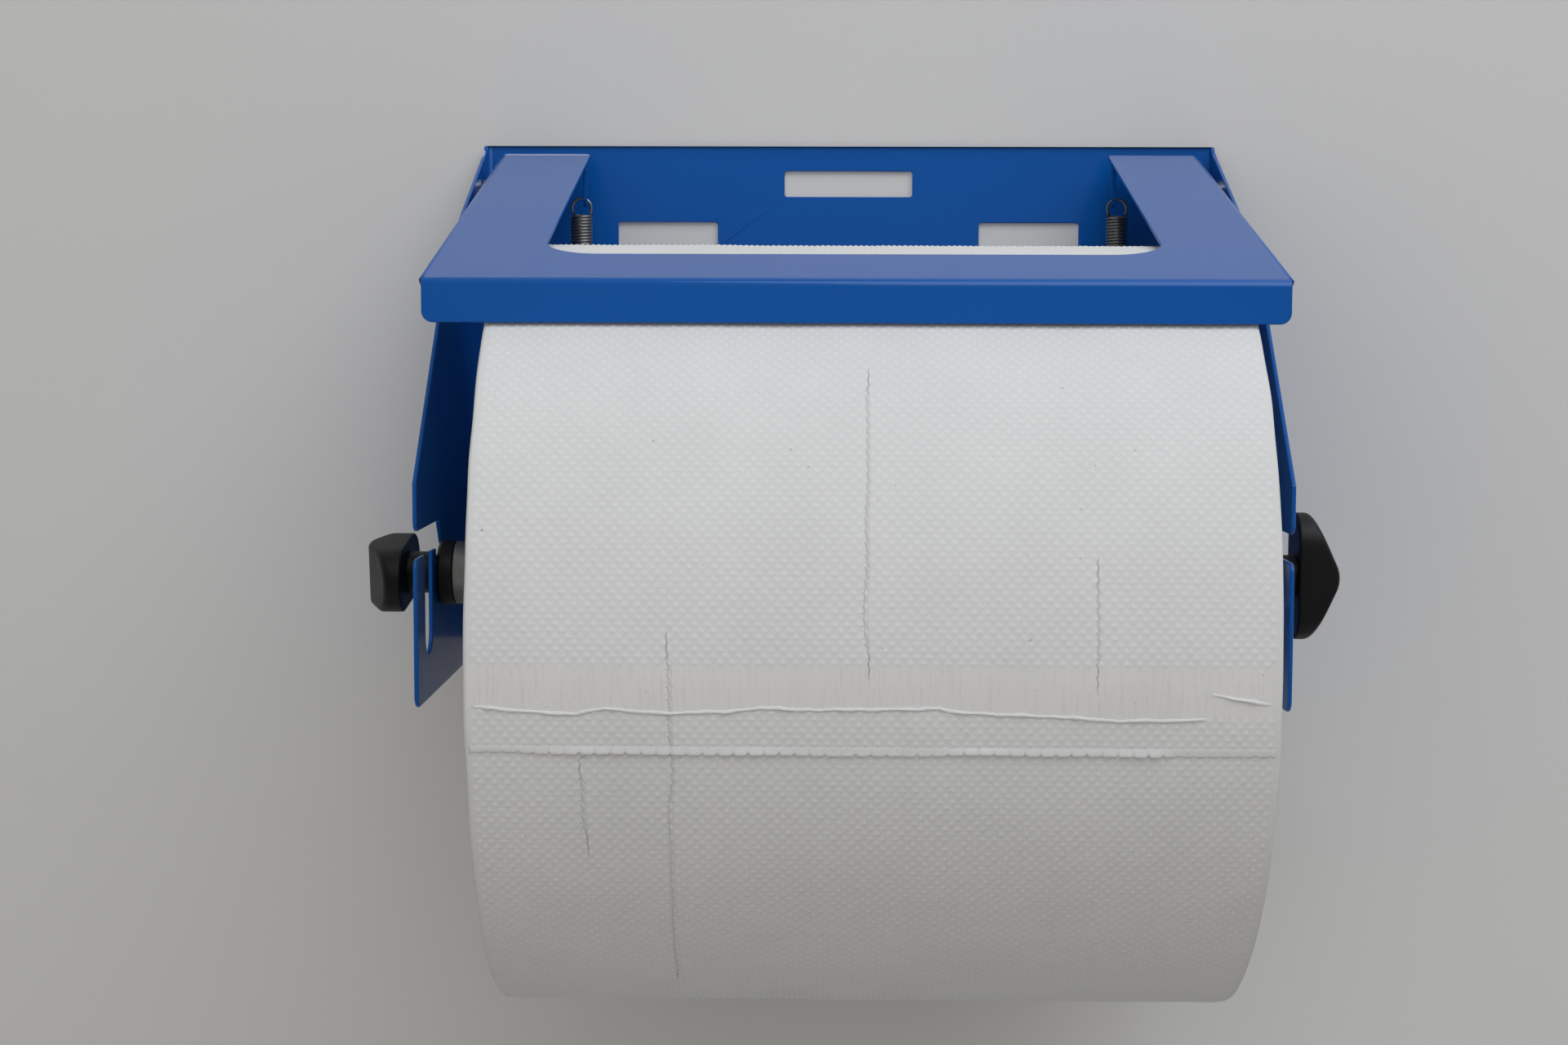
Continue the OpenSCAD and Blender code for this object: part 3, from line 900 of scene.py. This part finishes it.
def band(value, start, end, edge):
    """1 between start and end, 0 elsewhere, with soft edges."""
    rise = soft_step(value, start - edge, start + edge)
    return rise * (1 - soft_step(value, end - edge, end + edge))


def ridge_line(x):
    return np.interp(x, [p[0] for p in RIDGE], [p[1] for p in RIDGE])


def crease_side(x, s):
    """The side of the nearest crease, from -1 to 1 across its zone, with 0 on its line."""
    nearest = np.full(np.shape(x), 99.0)
    for at, start, end in CREASES:
        sway = 0.0012 * slow_wave(s, 0.16, round(1000 * (at + 1)))
        away = (x - at - sway) / CREASE_ZONE
        away = away + np.sign(away) * (1 - band(s, start, end, 0.008))
        nearest = np.where(np.abs(away) < np.abs(nearest), away, nearest)
    return np.clip(nearest, -1, 1)


def paper_lift(x, s):
    """How far the surface lies above the paper's own radius, without the dots."""
    waves = 0.00020 * slow_wave(x, 0.34, 1) + 0.00022 * slow_wave(s, ROUND, 2)
    waves = waves + 0.00010 * slow_wave(x + 0.3 * s, 0.06, 3)
    below_tail = soft_step(s, TAIL_EDGE - 0.003, TAIL_EDGE) * (1 - soft_step(s, 0.30, 0.50))
    fold = band(x, 0.021, 0.038, 0.0016) * band(s, 0.016, 0.110, 0.005)
    bump = np.exp(-(((x + 0.061) / 0.010) ** 2)) * band(s, -0.36, -0.20, 0.03)
    return waves - STEP_DOWN * below_tail + 0.00042 * fold + 0.00025 * bump


def glue_mask(x, s):
    return band(s, GLUE_TOP, ridge_line(x), 0.0009)


def on_roll(x, s, r):
    """The point at distance r from the roll's axis, above the place (x, s)."""
    angle = s / PAPER_R
    return np.stack([x, ROLL_Y - r * np.cos(angle), ROLL_Z - r * np.sin(angle)], axis=-1)


def dot_grid():
    """Column and row numbers, x and s of the grid that holds a dot at every second place."""
    rows = round(ROUND / (DOT_PITCH / 2))
    rows += rows % 2
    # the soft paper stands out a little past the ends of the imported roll
    x_low = roll_low.x - END_BULGE + RIM_R
    x_high = roll_high.x + END_BULGE - RIM_R
    columns = round((x_high - x_low) / (DOT_PITCH / 2))
    columns += columns % 2
    column, row = np.meshgrid(np.arange(columns + 1), np.arange(rows), indexing="ij")
    x = x_low + column * ((x_high - x_low) / columns)
    s = (row * (ROUND / rows) - SEAM) % ROUND + SEAM
    return column, row, x, s


def wound_surface(column, row, x, s):
    """Points, faces and paint masks of the dotted surface, and the numbers of its corners.

    Each dot fills a cell between four corners of the grid. It has four points round it and
    one on top.
    """
    last_column = column.shape[0] - 1
    rows = column.shape[1]
    is_corner = (column + row) % 2 == 1
    is_dot = ~is_corner & (column > 0) & (column < last_column)
    corner = np.full(column.shape, -1)
    corner[is_corner] = np.arange(is_corner.sum())
    corner_x, corner_s = x[is_corner], s[is_corner]
    dot_x, dot_s = x[is_dot], s[is_dot]
    dots = len(dot_x)
    flat = 1 - GLUED_LOSS * glue_mask(dot_x, dot_s)
    height = DOT_HEIGHT * flat * (0.8 + 0.4 * chance.random(dots))
    ground = PAPER_R + paper_lift(dot_x, dot_s)
    points = [on_roll(corner_x, corner_s, PAPER_R + paper_lift(corner_x, corner_s))]
    for dx, ds in ((1, 0), (0, 1), (-1, 0), (0, -1)):
        points.append(on_roll(dot_x + dx * DOT_R, dot_s + ds * DOT_R, ground + RING_RISE * height))
    points.append(on_roll(dot_x, dot_s, ground + height))

    mask_x = np.concatenate([corner_x] + 5 * [dot_x])
    mask_s = np.concatenate([corner_s] + 5 * [dot_s])
    masks = {
        "glue": glue_mask(mask_x, mask_s),
        "crease": crease_side(mask_x, mask_s),
        "dot": np.concatenate([0 * corner_x] + 4 * [RING_RISE * flat] + [flat]),
    }
    masks["near_crease"] = 1.0 * (np.abs(masks["crease"]) < 1)

    across = column[is_dot]
    round_it = row[is_dot]
    cell = [
        corner[across + 1, round_it],
        corner[across, (round_it + 1) % rows],
        corner[across - 1, round_it],
        corner[across, (round_it - 1) % rows],
    ]
    ring = [len(corner_x) + number * dots + np.arange(dots) for number in range(4)]
    top = len(corner_x) + 4 * dots + np.arange(dots)
    faces = []
    for number in range(4):
        after = (number + 1) % 4
        faces += np.stack([cell[number], cell[after], ring[after], ring[number]], axis=1).tolist()
        faces += np.stack([ring[number], ring[after], top], axis=1).tolist()
    # half cells without a dot fill the surface up to both rims
    for rim, inner in ((0, 1), (last_column, last_column - 1)):
        gap = row[rim][~is_corner[rim]]
        before, after = corner[rim, (gap - 1) % rows], corner[rim, (gap + 1) % rows]
        faces += np.stack([before, corner[inner, gap], after], axis=1).tolist()
    return np.concatenate(points), faces, masks, corner


def ring_faces(first, second):
    """The faces between two closed rings, given by the numbers of their points."""
    return np.stack([first, np.roll(first, -1), np.roll(second, -1), second], axis=1).tolist()


def paper_end(rim, x, s, side, ring_relief, next_point):
    """One rounded rim and end face, from the wound surface to the bore.

    rim holds the numbers of the surface's outermost points, and x and s their places.
    """
    base = PAPER_R + paper_lift(x, s)
    wavy = 0.0004 * slow_wave(s, ROUND / 7, 4 + side)
    rings, faces = [], []
    for step in range(1, RIM_STEPS + 1):
        angle = math.pi / 2 * step / RIM_STEPS
        out = RIM_R * math.sin(angle)
        drop = RIM_R * (1 - math.cos(angle))
        rings.append(on_roll(x + side * out + side * wavy * out / RIM_R, s, base - drop))
    for number in range(FACE_RINGS):
        share = (number + 1) / FACE_RINGS
        out = RIM_R + ring_relief[number] * (1 - share**8) + wavy * (1 - share) ** 2
        rings.append(on_roll(x + side * out, s, (base - RIM_R) * (1 - share) + BORE_R * share))
    outer = rim
    for _ in rings:
        inner = next_point + np.arange(len(rim))
        next_point += len(rim)
        faces += ring_faces(outer, inner)
        outer = inner
    return rings, faces, outer


def paper_roll():
    column, row, x, s = dot_grid()
    points, faces, masks, corner = wound_surface(column, row, x, s)
    ring_relief = chance.uniform(-FACE_RELIEF, FACE_RELIEF, FACE_RINGS)
    all_points = [points]
    bore_edges = []
    for rim_column, side in ((0, -1), (column.shape[0] - 1, 1)):
        on_rim = corner[rim_column] >= 0
        rim = corner[rim_column][on_rim]
        next_point = sum(len(group) for group in all_points)
        rings, end_faces, bore_edge = paper_end(
            rim, x[rim_column][on_rim], s[rim_column][on_rim], side, ring_relief, next_point
        )
        all_points += rings
        faces += end_faces
        bore_edges.append(bore_edge)
    # both rims have their points in the same rows, so the bore joins them directly
    faces += ring_faces(*bore_edges)
    all_points = np.concatenate(all_points)
    roll = make_piece("embossed_paper", all_points.tolist(), faces, white_paper)
    for name, known in masks.items():
        values = np.zeros(len(all_points))
        values[: len(known)] = known
        roll.data.attributes.new(name, "FLOAT", "POINT").data.foreach_set("value", values)
    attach(roll, "roll")
    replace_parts(roll, "paper_roll")


def paper_strip(name, x, section):
    """A closed strip lying on the roll. Each row of its section gives s and a lift along x."""
    rows = [on_roll(x, s, PAPER_R + paper_lift(x, s) + lift) for s, lift in section]
    points = np.stack(rows, axis=1).reshape(-1, 3)
    faces = skin(len(x), len(section)) + end_caps(len(x), len(section))
    strip = make_piece(name, points.tolist(), faces, white_paper)
    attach(strip, "roll")


def torn_ridge(name, x_start, x_end, line, seed):
    """The thin raised edge of torn paper that stands along the glue."""
    x = np.arange(x_start, x_end, 0.0006)
    rough = np.random.default_rng(seed).uniform(-1, 1, len(x))
    middle = line(x) + 0.0004 * slow_wave(x, 0.05, seed) + 0.00012 * rough
    width = 0.0010 + 0.0004 * slow_wave(x, 0.03, seed + 1)
    height = 0.00075 + 0.00030 * slow_wave(x, 0.024, seed + 2) + 0.00010 * np.roll(rough, 3)
    height = height * np.clip(np.minimum(x - x_start, x_end - x) / 0.006, 0.15, 1)
    sunk = np.full(len(x), -0.0003)
    section = [
        (middle - width, sunk),
        (middle - width * 0.8, 0.10 * height),
        (middle - width * 0.1, height),
        (middle + width * 0.4, 0.9 * height),
        (middle + width * 0.7, 0.2 * height),
        (middle + width, sunk),
    ]
    paper_strip(name, x, section)


def tail_edge():
    """The last few millimetres of the paper, lifted a little between the torn slits."""
    x = np.arange(roll_low.x + 0.0006, roll_high.x - 0.0006, 0.0007)
    in_slit = np.abs((x / SLIT_PITCH) % 1.0 - 0.5) * 2
    tie = soft_step(in_slit, 0.72, 0.95)
    rough = np.random.default_rng(21).uniform(-1, 1, len(x))
    edge = TAIL_EDGE + 0.0006 * slow_wave(x, 0.20, 22) + 0.0007 * tie * rough - 0.0004 * tie
    loose = band(x, -0.136, 0.128, 0.006) * (0.65 + 0.45 * slow_wave(x, 0.16, 23))
    raised = 0.00012 + 0.0011 * np.clip(loose, 0, 1) * (1 - 0.75 * tie)
    start = np.full(len(x), TAIL_EDGE - TAIL_LENGTH)
    sunk = np.full(len(x), -0.0002)
    section = [
        (start, sunk),
        (start + 0.0006, np.full(len(x), 0.00004)),
        (edge - 0.0024, 0.00012 + 0.3 * raised),
        (edge - 0.0012, STEP_DOWN * 0.7 + 0.8 * raised),
        (edge - 0.0002, STEP_DOWN + raised),
        (edge, STEP_DOWN + raised - 0.4 * TAIL_THICKNESS),
        (edge - 0.0002, STEP_DOWN + raised - TAIL_THICKNESS),
        (edge - 0.0012, STEP_DOWN * 0.5 + 0.5 * raised - TAIL_THICKNESS),
        (edge - 0.0026, sunk),
    ]
    paper_strip("tail_edge", x, section)


def stretched_noise(tree, place, scale, detail):
    stretch = tree.nodes.new("ShaderNodeMapping")
    stretch.inputs["Scale"].default_value = scale
    noise = tree.nodes.new("ShaderNodeTexNoise")
    noise.inputs["Scale"].default_value = 1.0
    noise.inputs["Detail"].default_value = detail
    tree.links.new(place, stretch.inputs["Vector"])
    tree.links.new(stretch.outputs["Vector"], noise.inputs["Vector"])
    return noise.outputs["Fac"]


def sharpened(tree, value, threshold, gain):
    """0 below the threshold, rising to 1 by the given gain above it."""
    above = math_node(tree, "SUBTRACT", value, threshold)
    return math_node(tree, "MULTIPLY", above, gain, clamp=True)


def masked_shade(tree, color, mask, shade):
    mix = tree.nodes.new("ShaderNodeMix")
    mix.data_type = "RGBA"
    mix.blend_type = "MULTIPLY"
    tree.links.new(mask, mix.inputs["Factor"])
    tree.links.new(color, mix.inputs["A"])
    mix.inputs["B"].default_value = (*shade, 1)
    return mix.outputs["Result"]


def layer_gap_shade(tree, place):
    """Painted shade in fine rings about the roll's axis, standing for the gaps between wound
    layers, seen only on its ends.
    """
    from_axis = tree.nodes.new("ShaderNodeVectorMath")
    from_axis.operation = "SUBTRACT"
    from_axis.inputs[1].default_value = (0, ROLL_Y, ROLL_Z)
    across = tree.nodes.new("ShaderNodeVectorMath")
    across.operation = "MULTIPLY"
    across.inputs[1].default_value = (0, 1, 1)
    distance = tree.nodes.new("ShaderNodeVectorMath")
    distance.operation = "LENGTH"
    tree.links.new(place, from_axis.inputs[0])
    tree.links.new(from_axis.outputs[0], across.inputs[0])
    tree.links.new(across.outputs[0], distance.inputs[0])
    layers = tree.nodes.new("ShaderNodeTexNoise")
    layers.noise_dimensions = "1D"
    layers.inputs["Scale"].default_value = 620
    layers.inputs["Detail"].default_value = 4
    tree.links.new(distance.outputs["Value"], layers.inputs["W"])
    facing = tree.nodes.new("ShaderNodeNewGeometry")
    split = tree.nodes.new("ShaderNodeSeparateXYZ")
    tree.links.new(facing.outputs["Normal"], split.inputs[0])
    on_end = math_node(tree, "POWER", math_node(tree, "ABSOLUTE", split.outputs["X"]), 6.0)
    dark = math_node(tree, "SUBTRACT", 0.62, layers.outputs["Fac"], clamp=True)
    return math_node(tree, "MULTIPLY", math_node(tree, "MULTIPLY", dark, 3.0), on_end, clamp=True)


def paper_material():
    """Soft white paper: streaks in the glue and a few specks, with painted shade between the dots,
    along the creases and in the layer rings on the ends.
    """
    material = finish_material(
        "white_embossed_paper",
        dark=(0.78, 0.785, 0.79),
        light=(0.86, 0.865, 0.87),
        rough=(0.80, 0.92),
        grain={"Grain_Scale": 1500.0, "Grain_Height": 0.00005, "Blotch_Scale": 26.0},
    )
    tree = material.node_tree
    shader_socket(material, "Specular IOR Level").default_value = 0.15
    place = tree.nodes.new("ShaderNodeTexCoord").outputs["Object"]
    masks = {}
    for name in ("glue", "crease", "near_crease", "dot"):
        reader = tree.nodes.new("ShaderNodeAttribute")
        reader.attribute_name = name
        masks[name] = reader.outputs["Fac"]

    color = shader_socket(material, "Base Color").links[0].from_socket
    streaks = sharpened(tree, stretched_noise(tree, place, (900, 60, 60), 3), 0.50, 5.0)
    color = masked_shade(tree, color, masks["glue"], (0.925, 0.91, 0.89))
    glued_streaks = math_node(tree, "MULTIPLY", masks["glue"], streaks)
    color = masked_shade(tree, color, glued_streaks, (0.93, 0.93, 0.93))
    # painted shade: outside the glue, the paper between the pressed dots is darkened, as if in the
    # dots' shade, so the dots stand out whiter
    between = math_node(tree, "SUBTRACT", 1.0, masks["dot"], clamp=True)
    not_glued = math_node(tree, "SUBTRACT", 1.0, masks["glue"], clamp=True)
    between = math_node(tree, "MULTIPLY", between, not_glued)
    color = masked_shade(tree, color, between, (0.88, 0.875, 0.87))

    def crease_line(half_width):
        """1 on a crease, falling to 0 at the given share of the crease's zone."""
        away = math_node(tree, "DIVIDE", math_node(tree, "ABSOLUTE", masks["crease"]), half_width)
        line = math_node(tree, "SUBTRACT", 1.0, away, clamp=True)
        return math_node(tree, "MULTIPLY", line, masks["near_crease"])

    # painted shade: the paper is darkened along each crease line
    color = masked_shade(tree, color, crease_line(0.06), (0.78, 0.78, 0.79))
    specks = sharpened(tree, stretched_noise(tree, place, (420, 420, 420), 1), 0.80, 30.0)
    color = masked_shade(tree, color, specks, (0.55, 0.53, 0.50))
    # painted shade darkens the rings of wound layers on the roll's ends
    color = masked_shade(tree, color, layer_gap_shade(tree, place), (0.70, 0.70, 0.69))
    tree.links.new(color, shader_socket(material, "Base Color"))

    fold = tree.nodes.new("ShaderNodeBump")
    fold.inputs["Distance"].default_value = 0.0004
    normal = shader_socket(material, "Normal")
    tree.links.new(math_node(tree, "SUBTRACT", 1.0, crease_line(0.16)), fold.inputs["Height"])
    tree.links.new(normal.links[0].from_socket, fold.inputs["Normal"])
    tree.links.new(fold.outputs["Normal"], normal)
    return material


def end_of_ridge(x):
    return 0.0074 + (x - 0.146) * 0.15


white_paper = paper_material()
paper_roll()
torn_ridge("torn_ridge", -0.1572, 0.1440, ridge_line, 31)
torn_ridge("torn_ridge_end", 0.1450, 0.1695, end_of_ridge, 41)
tail_edge()
